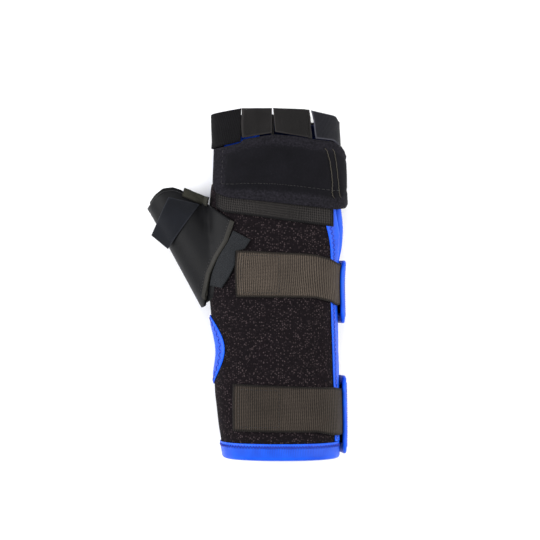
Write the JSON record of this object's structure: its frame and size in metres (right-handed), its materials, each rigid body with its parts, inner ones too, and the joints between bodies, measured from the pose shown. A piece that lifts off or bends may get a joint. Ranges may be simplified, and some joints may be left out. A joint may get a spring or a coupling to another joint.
{
  "type": "wrist splint",
  "caption": "Soft wrist, hand and thumb splint with padded palmar trough, bound loop wrap, elastic straps, knuckle pad and finger straps that peel open.",
  "frame": {"origin": "on the flat palmar face of the stay pocket, below the wrist joint, on the long axis", "axes": "+X ulnar (little finger side), +Y distal (towards the fingertips), +Z dorsal, away from the palm"},
  "size_m": [0.1345, 0.2326, 0.0627],
  "materials": {
    "loop_laminate": "brushed loop fabric on foam",
    "lining": "smooth knit",
    "lycra_binding": "satin stretch knit",
    "pocket_fabric": "woven",
    "elastic": "ribbed woven elastic",
    "webbing": "fine ribbed weave",
    "pad_cover": "knit over foam",
    "foam": "open cell",
    "neoprene": "nylon faced",
    "hook_fastener": "moulded hooks",
    "moulded_frame": "moulded",
    "stay": "satin"
  },
  "bodies": {
    "brace": {"palmar_cover": "loop_laminate", "palmar_frame": "moulded_frame", "palmar_liner": "lining", "palmar_cuff_binding": "lycra_binding", "palmar_ulnar_binding": "lycra_binding", "palmar_radial_binding": "lycra_binding", "stay_pocket": "pocket_fabric", "palmar_stay": "stay", "dorsal_wrap": "loop_laminate", "dorsal_lining": "lining", "cuff_binding": "lycra_binding", "ulnar_binding": "lycra_binding", "styloid_binding": "lycra_binding", "hand_strip": "webbing", "wrist_tab": "loop_laminate", "wrist_tab_binding": "lycra_binding", "forearm_tab": "loop_laminate", "forearm_tab_binding": "lycra_binding", "wrist_strap_root": "elastic", "forearm_strap_root": "elastic", "index_web": "webbing", "middle_web": "webbing", "ring_web": "webbing", "thumb_sleeve": "neoprene"},
    "wrist_strap": {"wrist_strap": "elastic", "wrist_strap_hook": "hook_fastener"},
    "forearm_strap": {"forearm_strap": "elastic", "forearm_strap_hook": "hook_fastener"},
    "knuckle_pad": {"knuckle_pad_cover": "pad_cover", "knuckle_pad_foam": "foam"},
    "index_strap": {"finger_strap_index": "webbing"},
    "middle_strap": {"finger_strap_middle": "webbing"},
    "ring_strap": {"finger_strap_ring": "webbing"},
    "little_strap": {"finger_strap_little": "webbing"},
    "thumb_flap": {"thumb_flap": "neoprene", "thumb_hook_tab": "hook_fastener"},
    "thumb_strap": {"thumb_strap": "webbing"}
  },
  "joints": [
    {"name": "wrist_strap_peel", "type": "hinge", "parent": "brace", "child": "wrist_strap", "pos_m": [0.03987, 0.017, 0.0375], "axis": [0, 1, 0], "range_deg": [0, 110]},
    {"name": "forearm_strap_peel", "type": "hinge", "parent": "brace", "child": "forearm_strap", "pos_m": [0.04162, -0.0675, 0.0385], "axis": [-0.0164, 0.9999, 0], "range_deg": [0, 110]},
    {"name": "knuckle_pad_lift", "type": "hinge", "parent": "brace", "child": "knuckle_pad", "pos_m": [0.04413, 0.0875, 0.017], "axis": [0.0819, 0.9966, 0], "range_deg": [0, 110]},
    {"name": "index_strap_peel", "type": "hinge", "parent": "brace", "child": "index_strap", "pos_m": [-0.0251, 0.12245, 0.03408], "axis": [0.0092, 0.9691, -0.2466], "range_deg": [0, 110]},
    {"name": "middle_strap_peel", "type": "hinge", "parent": "brace", "child": "middle_strap", "pos_m": [-0.0047, 0.1252, 0.03501], "axis": [0.0124, 0.9667, -0.2555], "range_deg": [0, 110]},
    {"name": "ring_strap_peel", "type": "hinge", "parent": "brace", "child": "ring_strap", "pos_m": [0.0199, 0.1236, 0.03389], "axis": [-0.0309, 0.9673, -0.2517], "range_deg": [0, 110]},
    {"name": "little_strap_peel", "type": "hinge", "parent": "brace", "child": "little_strap", "pos_m": [0.0413, 0.1185, 0.0195], "axis": [-0.0448, 0.999, 0], "range_deg": [0, 110]},
    {"name": "thumb_flap_lift", "type": "hinge", "parent": "brace", "child": "thumb_flap", "pos_m": [-0.06961, 0.03626, 0.0245], "axis": [0.4779, -0.875, 0.078], "range_deg": [0, 80]},
    {"name": "thumb_strap_peel", "type": "hinge", "parent": "thumb_flap", "child": "thumb_strap", "pos_m": [-0.06305, 0.07245, 0.0347], "axis": [-0.9483, 0.2267, 0.2221], "range_deg": [0, 75]}
  ]
}
